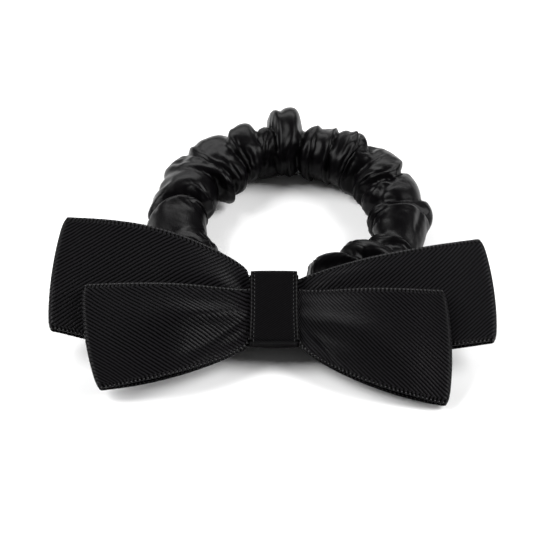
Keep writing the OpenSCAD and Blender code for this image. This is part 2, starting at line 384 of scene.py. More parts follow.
def woven_satin(name, colour, half_width, pitch, angle, bar_pitch, roughness=0.36,
                line_depth=0.09 * MM, strength=1.0):
    """Ribbon satin with its diagonal lines and woven edges, as bumps and as painted sheen and shade
    in its colour, and slow changes of gloss.
    """
    material, tree, shader = new_material(name, roughness, 0.038)
    weave = place_group(tree, "Woven satin", weave_group, {
        "Cloth UV": add(tree, "ShaderNodeUVMap", uv_map="Cloth").outputs[0],
        "Weave UV": add(tree, "ShaderNodeUVMap", uv_map="Weave").outputs[0],
        "Pitch": pitch, "Angle": angle, "Half width": half_width, "Border": 0.95 * MM,
        "Bar pitch": bar_pitch})
    drift = place_group(tree, "Cloth drift", drift_group,
                        {"Place": object_place(tree), "Scale": 55.0})
    # Painted sheen and shade: the colour runs from 0.15 to 16 times the ribbon's own, lighter on
    # the raised threads and darker between them
    base = shaded(tree, colour, 0.15, 16.0, weave["Shade"])
    base = mixed_colour(tree, maths(tree, "MULTIPLY", drift["Lint"], 0.25), base,
                        (0.03, 0.028, 0.03, 1))
    rough = maths(tree, "MULTIPLY_ADD", drift["Drift"], 0.16, roughness - 0.10)
    rough = maths(tree, "MULTIPLY_ADD", weave["Shade"], -0.1, rough)
    finish_material(tree, shader, base, strength, line_depth, weave["Height"], rough)
    return material


def gathered_satin(name, colour):
    """Smooth lustrous satin of the sleeve, with a very fine weave and small soft puckers."""
    material, tree, shader = new_material(name, 0.32, 0.075)
    uv = add(tree, "ShaderNodeUVMap", uv_map="Cloth").outputs[0]
    place = object_place(tree)
    drift = place_group(tree, "Cloth drift", drift_group, {"Place": place, "Scale": 70.0})
    warp = add(tree, "ShaderNodeMapping", {"Vector": uv, "Scale": (1.0, 0.25, 1.0)}).outputs[0]
    threads = noise(tree, warp, 5200.0, 2.0, 0.6)
    pucker = noise(tree, place, 420.0, 3.0, 0.55, 0.4)
    height = maths(tree, "MULTIPLY_ADD", threads, 0.45, maths(tree, "MULTIPLY", pucker, 0.9))
    finish_material(tree, shader, shaded(tree, colour, 0.6, 1.5, threads), 0.35, 0.12 * MM,
                    height, maths(tree, "MULTIPLY_ADD", drift["Drift"], 0.22, 0.21))
    return material


def sewing_thread(name, colour):
    """Twisted thread, with its ply as a fine slanting ripple, painted lighter on its ridges and
    darker in its grooves as painted highlight and shade.
    """
    material, tree, shader = new_material(name, 0.5, 0.07, 0.01)
    split = add(tree, "ShaderNodeSeparateXYZ", {0: object_place(tree)}).outputs
    run = maths(tree, "ADD", maths(tree, "ADD", split[0], split[1]), split[2])
    ply = maths(tree, "SINE", maths(tree, "MULTIPLY", run, TAU / (0.22 * MM)))
    # Painted highlight and shade: the colour is lighter on the ply's ridges and darker in its
    # grooves
    finish_material(tree, shader, shaded(tree, colour, 0.5, 1.6, wave_shade(tree, ply)),
                    0.6, 0.03 * MM, ply)
    return material


def braided_elastic(name, colour):
    """Rubbery cord under a braided cover: crossed slanting ribs, with painted shade in the grooves
    between them and painted highlight on their tops.
    """
    material, tree, shader = new_material(name, 0.62, 0.35, 0.2, 0.6)
    split = add(tree, "ShaderNodeSeparateXYZ", {0: object_place(tree)}).outputs
    turn = maths(tree, "ARCTAN2", split[1], split[0])
    ribs = [maths(tree, "SINE", maths(tree, "MULTIPLY_ADD", turn, 150.0, maths(
            tree, "MULTIPLY", split[2], slant * TAU / (1.1 * MM)))) for slant in (1.0, -1.0)]
    height = maths(tree, "MAXIMUM", *ribs)
    # Painted shade and highlight: the colour is darker in the grooves between the ribs and lighter
    # on their tops
    finish_material(tree, shader, shaded(tree, colour, 0.5, 1.5, wave_shade(tree, height)),
                    0.7, 0.08 * MM, height)
    return material


def material_for(name):
    """Each finish is made once and shared."""
    bow = bpy.context.scene.scrunchie_bow
    sleeve = bpy.context.scene.scrunchie_sleeve

    def ribbon(slant):
        return woven_satin(name, bow.ribbon_colour, bow.ribbon_width / 2, bow.twill_pitch,
                           slant * bow.twill_angle, bow.selvedge_pitch)

    finishes = {
        "back_ribbon": lambda: ribbon(-1),
        "front_ribbon": lambda: ribbon(1),
        "band": lambda: woven_satin(name, bow.band_colour, BAND_HALF, 0.34 * MM,
                                    math.radians(62), bow.selvedge_pitch, 0.42, 0.02 * MM, 0.4),
        "sleeve": lambda: gathered_satin(name, sleeve.colour),
        "thread": lambda: sewing_thread(name, (0.0026, 0.0024, 0.0027)),
        "elastic": lambda: braided_elastic(name, (0.02, 0.02, 0.02)),
    }
    return bpy.data.materials.get(name) or finishes[name]()


def dress(obj, finish):
    obj.data.materials.clear()
    obj.data.materials.append(material_for(finish))


# ---- Rows of stitches, made with Geometry Nodes along a path ----
def stitch_group(name):
    """Small rounded stitches at an even pitch along a path, laid on the cloth's face."""
    tree, given, out = new_group(name, "GeometryNodeTree", {
        "Path": "Geometry", "Pitch": 0.86 * MM, "Stitch length": 0.5 * MM,
        "Stitch width": 0.2 * MM, "Stitch height": 0.2 * MM, "Turn": 0.0, "Unevenness": 0.1,
        "Thread": "Material"}, {"Stitches": "Geometry"})
    curve = add(tree, "GeometryNodeMeshToCurve", {0: given["Path"]}).outputs[0]
    even = add(tree, "GeometryNodeResampleCurve", {"Curve": curve, "Length": given["Pitch"]},
               mode="LENGTH").outputs[0]
    tangent = add(tree, "GeometryNodeInputTangent").outputs[0]
    outward = add(tree, "GeometryNodeInputNamedAttribute", {"Name": "face_out"},
                  data_type="FLOAT_VECTOR").outputs[0]
    lie = add(tree, "FunctionNodeAlignRotationToVector", {"Vector": tangent}, axis="X")
    face_on = add(tree, "FunctionNodeAlignRotationToVector",
                  {"Rotation": lie.outputs[0], "Vector": outward}, axis="Z", pivot_axis="X")
    spin = add(tree, "FunctionNodeEulerToRotation",
               {0: add(tree, "ShaderNodeCombineXYZ", {2: given["Turn"]}).outputs[0]}).outputs[0]
    turned = add(tree, "FunctionNodeRotateRotation",
                 {"Rotation": face_on.outputs[0], "Rotate By": spin}, rotation_space="LOCAL")
    bead = add(tree, "GeometryNodeMeshUVSphere", {"Segments": 6, "Rings": 4, "Radius": 0.5})
    bead = add(tree, "GeometryNodeSetShadeSmooth", {0: bead.outputs[0]}).outputs[0]
    vary = add(tree, "FunctionNodeRandomValue", {
        2: maths(tree, "SUBTRACT", 1.0, given["Unevenness"]),
        3: maths(tree, "ADD", 1.0, given["Unevenness"]), "Seed": 7}).outputs[1]
    size = add(tree, "ShaderNodeCombineXYZ", {
        0: maths(tree, "MULTIPLY", given["Stitch length"], vary),
        1: given["Stitch width"], 2: given["Stitch height"]}).outputs[0]
    laid = add(tree, "GeometryNodeInstanceOnPoints", {
        "Points": even, "Instance": bead, "Rotation": turned.outputs[0], "Scale": size})
    real = add(tree, "GeometryNodeRealizeInstances", {0: laid.outputs[0]}).outputs[0]
    done = add(tree, "GeometryNodeSetMaterial", {0: real, "Material": given["Thread"]})
    tree.links.new(done.outputs[0], out["Stitches"])
    return tree


def stitch_rows(name, paths, outs, pitch, size, turn=0.0, unevenness=0.15):
    """A plain mesh of stitches along paths; outs are the cloth's normals at the paths' points,
    and size is one stitch's length, width and height."""
    edges, start = [], 0
    for path in paths:
        edges += [(start + i, start + i + 1) for i in range(len(path) - 1)]
        start += len(path)
    mesh = bpy.data.meshes.new(name + "_path")
    mesh.from_pydata(np.concatenate(paths).tolist(), edges, [])
    layer = mesh.attributes.new("face_out", "FLOAT_VECTOR", "POINT")
    layer.data.foreach_set("vector", np.concatenate(outs).astype(np.float32).ravel())
    holder = new_object(name + "_path", mesh)
    nodes = holder.modifiers.new("Stitches", "NODES")
    tree = bpy.data.node_groups.get("Row of stitches") or stitch_group("Row of stitches")
    sockets = {item.name: item.identifier for item in tree.interface.items_tree
               if item.item_type == "SOCKET" and item.in_out == "INPUT"}
    nodes.node_group = tree
    for label, value in (("Pitch", pitch), ("Stitch length", size[0]),
                         ("Stitch width", size[1]), ("Stitch height", size[2]),
                         ("Turn", turn), ("Unevenness", unevenness),
                         ("Thread", material_for("thread"))):
        nodes[sockets[label]] = value
    bpy.context.view_layer.update()
    evaluated = holder.evaluated_get(bpy.context.evaluated_depsgraph_get())
    plain = bpy.data.meshes.new_from_object(evaluated)
    plain.name = name
    holder.modifiers.remove(nodes)
    bpy.data.objects.remove(holder)
    bpy.data.meshes.remove(mesh)
    if not len(plain.polygons):
        raise RuntimeError(name + ": no stitches were made")
    return new_object(name, plain)


# ---- The gathered sleeve ----
JOIN_ANGLE = math.radians(45)
SLEEVE_ROWS = 400
SLEEVE_COLUMNS = 72
# Where the long seam runs on the tube, in degrees from its outer side over the top
SEAM_PLACE = 235
# The lowest that the sleeve's cloth may come over the surface it lies on
LIE_HEIGHT = 0.12 * MM
# How the sleeve's satin is let settle: size of the solver's copy, steps, stiffnesses, how much
# larger it wants to be, the space it keeps, and the furthest that any point may move
SETTLE = dict(scale=20, frames=8, quality=6, stretch=20.0, shear=8.0, bend=6.0, mass=0.3,
              damping=4.0, pressure=0.15, growth=0.012, friction=20, solid_gap=0.12 * MM,
              gap=0.1 * MM, self_gap=0.22 * MM, contact_quality=3, furthest=4.0 * MM)
# The core that the cloth rests on while it settles, and the half width of the ground under it
CORE_R = 2.2 * MM
GROUND_HALF = 60 * MM

# The sleeve's gathers, in order round the ring from the knot by the right. Each has: where it
# starts (degrees round the ring) on the tube's outer side, top and side towards the opening; the
# crease it starts from and its own height there (mm from the tube's middle); where its crest
# stands between its two creases (0 to 1); and how far it leans over (mm along the ring)
GATHERS = [
    ((2, 2, 2), 4.6, (5.0, 5.2, 5.4), 0.5, 0.0),
    ((12, 10, 5), 4.8, (5.4, 8.0, 10.4), 0.52, -0.4),
    ((40, 41, 39), (4.4, 3.9, 3.2), (5.4, 7.4, 8.8), 0.42, -0.6),
    ((56, 56, 55), 4.2, (5.2, 5.5, 6.2), 0.6, 0.4),
    ((66, 68, 71), 4.3, (4.7, 6.2, 6.6), 0.72, 1.1),
    ((92, 89, 85), 4.0, (4.6, 4.9, 7.8), 0.5, 0.4),
    ((98, 97, 104), 4.2, (5.4, 5.9, 6.8), 0.6, 0.3),
    ((117, 113, 122), (3.1, 3.6, 3.6), (5.9, 5.8, 6.9), 0.42, -0.5),
    ((141, 131, 133), 3.8, (6.3, 5.7, 6.1), 0.62, 0.3),
    ((149, 141, 143), 5.1, (6.6, 5.9, 5.9), 0.3, -0.8),
    ((159, 157, 156), 4.7, (6.2, 5.8, 5.6), 0.3, -0.8),
    ((166, 166, 167), 5.0, (6.0, 5.7, 5.8), 0.3, -0.6),
    ((172.5, 173, 175), 3.8, (9.4, 6.4, 5.9), 0.6, 0.0),
    ((183.2, 183, 184), (8.3, 5.4, 4.8), (8.8, 5.9, 5.5), 0.42, 0.0),
    ((187.5, 185.5, 187), 3.6, (5.6, 5.2, 5.0), 0.5, 0.2),
    ((195, 197.5, 198), 4.1, (7.1, 5.8, 5.9), 0.38, 0.7),
    ((209, 214, 210), 4.2, (6.2, 5.8, 8.0), 0.42, 0.6),
    ((229, 229, 224), 5.2, (5.4, 5.6, 8.8), 0.5, -0.3),
    ((243, 238, 232), 5.0, (5.4, 6.3, 7.0), 0.62, 0.5),
    ((266, 259, 257), 3.8, (5.5, 5.8, 6.5), 0.4, -0.6),
    ((292, 288, 284), (5.0, 5.0, 5.7), (5.0, 5.5, 6.3), 0.5, 0.5),
    ((308, 306, 304), 4.5, (5.0, 5.2, 5.0), 0.5, -0.4),
    ((324, 323, 322), 4.2, (5.0, 4.9, 4.6), 0.5, 0.3),
    ((341, 341, 341), 4.2, (4.8, 4.8, 4.8), 0.5, 0.0),
]
# How full a gather is from crease to crease, and how round its crest is (less is flatter)
DOME_FULL, DOME_ROUND = 2.5, 0.62
# Height of the rolled edge where a gather leans over its crease (mm), its place between the two
# creases, its width there, and the lean at which it is full (mm)
RIM, RIM_PLACE, RIM_WIDTH, RIM_LEAN = 0.5, 0.84, 0.09, 0.6
# The length beside the bow's neck over which the sleeve opens to its full size
OPEN_LENGTH = 7 * MM


def round_tube(values, tube_deg):
    """A smooth course round the tube through its values on the outer side, top and inner side;
    underneath it lies between the outer and inner ones."""
    outer, top, inner, below = 50, 115, 190, 300
    places = np.radians([outer, top, inner, below])
    waves = [np.ones(4), np.cos(places), np.sin(places), np.cos(2 * places)]
    under = (values[0] + values[2]) / 2
    weights = np.linalg.solve(np.array(waves).T, np.array([*values, under], dtype=float))
    turn = np.radians(tube_deg)
    return (weights[0] + weights[1] * np.cos(turn) + weights[2] * np.sin(turn)
            + weights[3] * np.cos(2 * turn))


def sleeve_route(sleeve):
    """The sleeve's middle line at even steps, the same line that the elastic takes."""
    half, gap = sleeve.neck_half, 0.2 * MM

    def ring(a):
        return np.array([RING_R * math.sin(a), -RING_R * math.cos(a), RING_Z])

    def bend(side):
        start = KNOT + [side * half, 0, 0]
        stop = ring(side * JOIN_ANGLE)
        pull = np.linalg.norm(stop - start)
        m0 = np.array([pull, 0, 0]) * side
        m1 = pull * np.array([side * math.cos(JOIN_ANGLE), math.sin(JOIN_ANGLE), 0])
        return [(2 * t**3 - 3 * t**2 + 1) * start + (t**3 - 2 * t**2 + t) * m0
                + (3 * t**2 - 2 * t**3) * stop + (t**3 - t**2) * m1
                for t in np.linspace(0, 1, 30)]

    arc = [ring(a) for a in np.linspace(JOIN_ANGLE, TAU - JOIN_ANGLE, 240)[1:-1]]
    line = np.array([KNOT + [gap / 2, 0, 0]] + bend(1) + arc + bend(-1)[::-1]
                    + [KNOT - [gap / 2, 0, 0]])
    run = lengths_along(line)
    even = np.linspace(0, run[-1], SLEEVE_ROWS)
    return np.stack([np.interp(even, run, line[:, k]) for k in range(3)], axis=1), even


def wrapped(angle):
    """Angle in degrees brought into -180 to 180."""
    return (angle + 180.0) % 360.0 - 180.0


def gathered_shape(sleeve, ring_deg, tube_deg, run, total):
    """Radius of the gathered sleeve, and how far it leans along the ring, over the grid of
    places along the ring and round the tube."""
    rng = np.random.default_rng(11)
    per_degree = TAU * RING_R / 360 / MM
    from_knot = np.minimum(run, total - run)
    open_up = smooth((from_knot - sleeve.neck_half) / OPEN_LENGTH)[:, None]
    height = np.full_like(ring_deg, GATHERS[0][1])
    lean = np.zeros_like(ring_deg)
    starts = [round_tube(gather[0], tube_deg) for gather in GATHERS]
    starts.append(starts[0] + 360.0)
    place = np.where(ring_deg < starts[0], ring_deg + 360.0, ring_deg)
    for k, (_, floor, tall, crest, over) in enumerate(GATHERS):
        across = (place - starts[k]) / (starts[k + 1] - starts[k])
        inside = (across >= 0) & (across < 1)
        even = np.clip(across, 0, 1) ** (math.log(0.5) / math.log(crest))
        dome = np.clip(1 - np.abs(2 * even - 1) ** DOME_FULL, 0, 1) ** DOME_ROUND
        bed, next_bed = (round_tube(deep if isinstance(deep, tuple) else (deep,) * 3, tube_deg)
                         for deep in (floor, GATHERS[(k + 1) % len(GATHERS)][1]))
        bed = bed + (next_bed - bed) * smooth(across)
        top = np.maximum(round_tube(tall, tube_deg), bed + 0.5)
        rim_place = RIM_PLACE if over >= 0 else 1 - RIM_PLACE
        rim = (RIM * np.exp(-((across - rim_place) / RIM_WIDTH) ** 2)
               * min(abs(over), RIM_LEAN) / RIM_LEAN)
        height = np.where(inside, bed + (top - bed) * dome + rim, height)
        lean = np.where(inside, over * dome, lean)
    # Smaller creases and folds at chance places, none as deep as those between the gathers
    for i in range(sleeve.crease_count):
        a0 = (i + rng.uniform(0.1, 0.9)) * 360 / sleeve.crease_count
        phi0 = rng.uniform(0, 360)
        reach = rng.uniform(35, 85)
        slant = rng.uniform(-3.2, 3.2)
        bend = rng.uniform(-1.2, 1.2)
        deep = rng.uniform(0.3, 1.0) * sleeve.crease_depth / MM
        half_width = rng.uniform(0.5, 1.0)
        phi = wrapped(tube_deg - phi0)
        d = (wrapped(ring_deg - a0) * per_degree - slant * phi / 90
             - bend * (phi / 90) ** 2) / half_width
        near = np.exp(-(phi / reach) ** 4)
        height = height - deep * near * (np.exp(-np.abs(d) ** 1.4)
                                         - 0.4 * np.exp(-((np.abs(d) - 2.0) / 0.9) ** 2))
    radius = sleeve.neck_radius + (height * MM - sleeve.neck_radius) * open_up
    return radius, lean * MM * open_up


# Space left between the sleeve and the ribbon's middle surface when the bow is rolled as far back
# as it goes, the slope at which the cloth is let free above the wings, and how softly it is bent
PRESS_GAP = 0.55 * MM
PRESS_SLOPE = 1.5
PRESS_SOFT = 0.3 * MM


def kept_under_bow(points, bow):
    """Sleeve points pressed back to just behind the back ribbon, where its wings reach when the
    bow is rolled as far back as it goes. Beyond the wings' upper edges the cloth is left free."""
    cos, sin = math.cos(ROLL_LOW), math.sin(ROLL_LOW)
    q = to_bow(points)
    u = q[..., 1] * cos + q[..., 2] * sin
    w = q[..., 2] * cos - q[..., 1] * sin
    strip = ribbon_strip(bow, "back").reshape(-1, 3)
    stations = np.arange(-46, 47, 2) * MM
    near = np.abs(strip[None, :, 0] - stations[:, None]) < 1.6 * MM
    behind = np.where(near, strip[None, :, 2], 1.0).min(axis=1)
    upper = np.where(near, strip[None, :, 1], -1.0).max(axis=1)
    limit = np.interp(q[..., 0], stations, behind) - PRESS_GAP
    limit = limit + PRESS_SLOPE * np.maximum(
        0, u - np.interp(q[..., 0], stations, upper) - 1.0 * MM)
    over = w - limit
    back = 0.5 * (over + np.sqrt(over * over + PRESS_SOFT * PRESS_SOFT)) * (over > -2 * MM)
    return points - back[..., None] * (cos * BOW_OUT - sin * BOW_UP)


def line_ways(line):
    """Unit ways ahead along the sleeve's middle line, and level out from it."""
    ahead = unit(np.gradient(line, axis=0))
    return ahead, np.cross(ahead, UP)


def tube_mesh(name, line, radius, columns):
    """A plain tube along a line, facing outwards."""
    out = line_ways(line)[1]
    turn = np.linspace(0, TAU, columns, endpoint=False)[None, :, None]
    points = line[:, None, :] + radius * (np.cos(turn) * out[:, None, :] + np.sin(turn) * UP)
    return grid_mesh(name, points, {}, close_across=True)


def settle_satin(obj, held, solids):
    """Lets the gathered cloth find its own folds: it wants to be a little larger than it is, is
    held at some points, and may not pass through itself or the solids. The solver works on a
    much larger copy, because it is made for cloth of everyday size."""
    scale, frames = SETTLE["scale"], SETTLE["frames"]
    for solid in [obj] + solids:
        mesh = solid.data
        mesh.vertices.foreach_set("co", (mesh_points(mesh) * scale).ravel())
    group = obj.vertex_groups.new(name="Held")
    for index, weight in held:
        group.add([index], weight, "REPLACE")
    for solid in solids:
        solid.modifiers.new("Solid", "COLLISION")
        solid.collision.thickness_outer = SETTLE["solid_gap"] * scale
        solid.collision.cloth_friction = SETTLE["friction"]
    cloth = obj.modifiers.new("Cloth", "CLOTH")
    rules, contact = cloth.settings, cloth.collision_settings
    rules.effector_weights.gravity = 0.0
    for target, values in (
            (rules, dict(
                quality=SETTLE["quality"], mass=SETTLE["mass"],
                tension_stiffness=SETTLE["stretch"], compression_stiffness=SETTLE["stretch"],
                shear_stiffness=SETTLE["shear"], bending_stiffness=SETTLE["bend"],
                air_damping=SETTLE["damping"], vertex_group_mass=group.name, pin_stiffness=1.0,
                shrink_min=-SETTLE["growth"], shrink_max=-SETTLE["growth"], use_pressure=True,
                uniform_pressure_force=SETTLE["pressure"])),
            (contact, dict(
                use_collision=True, distance_min=SETTLE["gap"] * scale, use_self_collision=True,
                self_distance_min=SETTLE["self_gap"] * scale,
                collision_quality=SETTLE["contact_quality"]))):
        for label, value in values.items():
            setattr(target, label, value)
    scene = bpy.context.scene
    cloth.point_cache.frame_start, cloth.point_cache.frame_end = 1, frames
    for step in range(1, frames + 1):
        scene.frame_set(step)
    evaluated = obj.evaluated_get(bpy.context.evaluated_depsgraph_get())
    settled = mesh_points(evaluated.data) / scale
    scene.frame_set(1)
    obj.modifiers.remove(cloth)
    obj.vertex_groups.clear()
    for solid in solids:
        mesh = solid.data
        bpy.data.objects.remove(solid)
        bpy.data.meshes.remove(mesh)
    return settled


class SCRUNCHIE_OT_sleeve(bpy.types.Operator):
    """Make the gathered satin sleeve"""
    bl_idname = "scrunchie.sleeve"
    bl_label = "Gathered sleeve"

    def execute(self, context):
        sleeve = context.scene.scrunchie_sleeve
        line, run = sleeve_route(sleeve)
        total = run[-1]
        ahead, out = line_ways(line)
        ring_deg, tube_deg = np.meshgrid(
            np.degrees(np.arctan2(line[:, 0], -line[:, 1])) % 360,
            np.linspace(0, 360, SLEEVE_COLUMNS, endpoint=False), indexing="ij")
        radius, lean = gathered_shape(sleeve, ring_deg, tube_deg, run, total)
        cos, sin = np.cos(np.radians(tube_deg)), np.sin(np.radians(tube_deg))
        points = (line[:, None, :] + (radius * cos)[..., None] * out[:, None, :]
                  + (radius * sin)[..., None] * UP + lean[..., None] * ahead[:, None, :])
        points[..., 2] = np.maximum(points[..., 2], LIE_HEIGHT)
        uvs = uv_grid(run * (sleeve.flat_length / total),
                      np.linspace(0, sleeve.flat_width, SLEEVE_COLUMNS + 1)[None, :])
        obj = grid_mesh("satin_sleeve_gathered", points, {"Cloth": uvs}, close_across=True)
        self.settle(sleeve, obj, line, run)
        thicken(obj, sleeve.satin_thickness, -1.0)
        dress(obj, "sleeve")
        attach(obj, "scrunchie")
        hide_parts("satin_sleeve")
        sewn = self.sew(obj, line)
        return {"FINISHED"}

    def sew(self, obj, line):
        """The running stitches of the sleeve's long seam, inside and below, and the closing
        stitches where its two ends meet, both laid on the settled cloth."""
        net = mesh_points(obj.data).reshape(SLEEVE_ROWS, SLEEVE_COLUMNS, 3)
        away = unit(net - line[:, None, :])
        column = round(SLEEVE_COLUMNS * SEAM_PLACE / 360)
        face = unit(np.cross(np.gradient(net, axis=0)[:, column],
                             np.gradient(net, axis=1)[:, column]))
        face *= np.sign(np.sum(face * away[:, column], axis=1))[:, None]
        stretch = slice(SLEEVE_ROWS // 20, SLEEVE_ROWS - SLEEVE_ROWS // 20)
        seam = stitch_rows("sleeve_seam_stitches",
                           [net[stretch, column] + face[stretch] * 0.02 * MM], [face[stretch]],
                           2.4 * MM, (1.7 * MM, 0.26 * MM, 0.24 * MM))
        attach(seam, "scrunchie")
        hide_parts("sleeve_seam_thread")
        ring = np.vstack([net[0], net[:1, 0]])
        outward = np.vstack([away[0], away[:1, 0]])
        closing = stitch_rows("sleeve_end_stitches", [ring], [outward], 1.6 * MM,
                              (1.5 * MM, 0.26 * MM, 0.26 * MM), math.radians(80))
        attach(closing, "scrunchie")
        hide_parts("sleeve_closing_stitches")
        return [seam, closing]

    def settle(self, sleeve, obj, line, run):
        """Simulates the satin from its gathered shape."""
        near = np.minimum(run, run[-1] - run) - sleeve.neck_half
        weight = 1 - smooth(near / (4 * MM))
        held = [(i * SLEEVE_COLUMNS + j, float(weight[i])) for i in range(SLEEVE_ROWS)
                if weight[i] > 0.01 for j in range(SLEEVE_COLUMNS)]
        core = tube_mesh("core", line[::4], CORE_R, 24)
        square = np.array([[[-1, -1, 0], [-1, 1, 0]], [[1, -1, 0], [1, 1, 0]]])
        ground = grid_mesh("ground", square * GROUND_HALF, {})
        before = mesh_points(obj.data)
        moved = settle_satin(obj, held, [core, ground]) - before
        far = np.linalg.norm(moved, axis=1)
        after = before + moved * np.minimum(
            1.0, SETTLE["furthest"] / np.maximum(far, 1e-9))[:, None]
        # The solver's smallest ripples are evened out, as the real cloth is too stiff for them
        net = after.reshape(SLEEVE_ROWS, SLEEVE_COLUMNS, 3)
        mean = (np.roll(net, 1, axis=1) + np.roll(net, -1, axis=1)) / 2
        mean[1:-1] = (mean[1:-1] + (net[2:] + net[:-2]) / 2) / 2
        net = (net + mean) / 2
        after = kept_under_bow(net.reshape(-1, 3), bpy.context.scene.scrunchie_bow)
        after[:, 2] = np.maximum(after[:, 2], LIE_HEIGHT)
        obj.data.vertices.foreach_set("co", after.ravel())
        obj.data.update()


# ---- The ribbon bows ----
# One loop of a bow: side, length, slope, turn of its fold and tilt of its face (degrees), how
# the top and bottom edges spread from the band (less is sooner), how far they bow out (mm), and
# where they end
LOOPS = {
    "back": [
        dict(side=-1, length=45.2, slope=9.7, turn=-3, tilt=0, top=0.24, top_bow=2.2,
             bottom=0.3, bottom_bow=1.2, top_end=12.7, bottom_end=11.5),
        dict(side=1, length=44.2, slope=4.8, turn=1, tilt=8, top=0.7, top_bow=0.4,
             bottom=0.35, bottom_bow=1.0, top_end=12.5, bottom_end=10.7),
    ],
    "front": [
        dict(side=-1, length=37.9, slope=-9.2, turn=0, tilt=3, top=1.1, top_bow=0.3,
             bottom=0.4, bottom_bow=1.2, top_end=10.9, bottom_end=12.0),
        dict(side=1, length=36.0, slope=-14.0, turn=15, tilt=0, top=1.2, top_bow=0.2,
             bottom=0.4, bottom_bow=1.6, top_end=12.0, bottom_end=12.4),
    ],
}
# Height of each bow's pinched middle above and below its own middle line (mm)
PINCH = {"back": (7.2, 6.2), "front": (4.6, 6.1)}
# Soft ridges that run out from the band: front or back layer (1, -1), place across the ribbon at
# the band and at the fold (-1 bottom edge, 1 top edge), height (mm), width across, how far they
# reach along the loop
RIDGES = {
    ("back", -1): [(1, 0.45, 0.3, 1.1, 0.36, 0.6), (1, -0.2, 0.0, -0.4, 0.25, 0.5),
                   (-1, 0.5, 0.5, -0.4, 0.4, 0.5), (-1, -0.3, -0.4, -0.6, 0.16, 0.4)],
    ("back", 1): [(1, 0.75, 0.6, 0.5, 0.25, 0.6), (1, 0.2, 0.2, -0.3, 0.25, 0.5),
                  (-1, 0.4, 0.4, -0.4, 0.4, 0.5), (-1, -0.3, -0.4, -0.6, 0.16, 0.4)],
    ("front", -1): [(1, 0.2, 0.25, 1.5, 0.42, 0.8), (1, -0.1, -1.3, -0.6, 0.2, 0.45),
                    (-1, 0.3, 0.2, -0.5, 0.3, 0.5), (-1, -0.4, -0.5, -0.6, 0.16, 0.4)],
    ("front", 1): [(1, 0.3, -0.35, 1.3, 0.4, 0.9), (1, -0.22, -2.4, -1.4, 0.13, 0.25),
                   (1, -0.7, -1.0, 0.6, 0.22, 0.3),
                   (-1, 0.3, 0.2, -0.5, 0.3, 0.5), (-1, -0.4, -0.5, -0.6, 0.16, 0.4)],
}
# Depth of a loop's two layers together in the band, half of it at the open middle and at the
# fold, and how far from the band a loop goes on rising
STACK = 1.3 * MM
OPEN_HALF = {"back": 1.25 * MM, "front": 1.35 * MM}
FOLD_HALF = {"back": 1.0 * MM, "front": 0.9 * MM}
RISE_LENGTH = 22 * MM
# How far a loop's middle stays below the top of its CAD solid
TOP_GAP = 1.4 * MM
# Depth of the pleats beside the band on a loop's front and back layers, how many half waves
# they make across it, and where along the loop they have gone (0 at the band, 1 at the fold)
PLEAT_DEPTH = {1: 0.3 * MM, -1: 0.9 * MM}
PLEAT_WAVES = 3.6
PLEATS_GONE = 0.55
# Height of the arch across each layer
ARCH = 0.35 * MM
RIBBON_COLUMNS = 33
# Rows of points along one layer of a loop, and along one lap
LAYER_ROWS, LAP_POINTS = 72, 8


def loop_rise(bow_name):
    """How far a bow's loops rise out of the band: its CAD solid's span above its lapped middle."""
    return RIBBON_TOP[bow_name] - STITCH_MID[bow_name][2] - TOP_GAP


def loop_surface(bow, bow_name, loop, d, layer, v, inset=0.0):
    """Points in the bow's own frame at distance d from the middle, on a layer, across at v."""
    mid_y, mid_z = STITCH_MID[bow_name][1:]
    length, side = loop["length"] * MM, loop["side"]
    slope, turn_end = math.radians(loop["slope"]), math.radians(loop["slope"] + loop["turn"])
    t = np.clip((d - bow.grip_half) / (length - bow.grip_half), 0, 1)
    up, down = PINCH[bow_name]
    top = up + (loop["top_end"] - up) * t ** loop["top"] + loop["top_bow"] * np.sin(math.pi * t)
    bottom = (down + (loop["bottom_end"] - down) * t ** loop["bottom"]
              + loop["bottom_bow"] * np.sin(math.pi * t))
    y_off = (v * (top + bottom) / 2 + (top - bottom) / 2) * MM
    turn = turn_end * t
    x = side * (d * math.cos(slope) - y_off * np.sin(turn))
    # The fold's line bows out in the middle of the ribbon and its corners are rounded off
    x = x + side * MM * smooth((t - 0.7) / 0.3) * (1.0 - v * v - 0.5 * np.abs(v) ** 14)
    y = length * math.sin(slope) * t + mid_y + y_off * np.cos(turn)
    rise = np.clip((d - bow.grip_half) / RISE_LENGTH, 0, 1)
    lift = 1 - (1 - rise ** 1.6) ** 3
    half = STACK / 2 + (OPEN_HALF[bow_name] - STACK / 2) * lift
    close = smooth((t - 0.72) / 0.28)
    half = half + (FOLD_HALF[bow_name] - half) * close - bow.ribbon_thickness / 2
    z = mid_z + loop_rise(bow_name) * lift + layer * half
    # Pleats take up the ribbon's spare width near the band, deeper on the layers behind
    pleat = PLEAT_DEPTH[layer] * (1 - 0.82 * (1 - rise) ** 3) * (1 - smooth(t / PLEATS_GONE))
    z = z + pleat * np.sin(math.pi * (PLEAT_WAVES * v + 0.3 * side)) * (1 - 0.5 * v * v)
    for on, v0, v1, tall, width, reach in RIDGES[(bow_name, side)]:
        if on != layer:
            continue
        line = v0 + (v1 - v0) * t
        spread = width * (0.55 + 0.9 * t)
        fade = smooth((d - bow.grip_half) / (7 * MM)) * (1 - smooth(t / reach - 0.25))
        z = z + tall * MM * fade * np.exp(-((v - line) / spread) ** 2)
    z = z - y_off * math.sin(math.radians(loop["tilt"])) * t
    # A gentle arch across the ribbon, gone at the fold
    z = z + layer * ARCH * (1 - v * v) * np.sin(math.pi * np.clip(t, 0, 1)) * 0.8
    return np.stack(np.broadcast_arrays(x, y, z + inset), axis=-1)


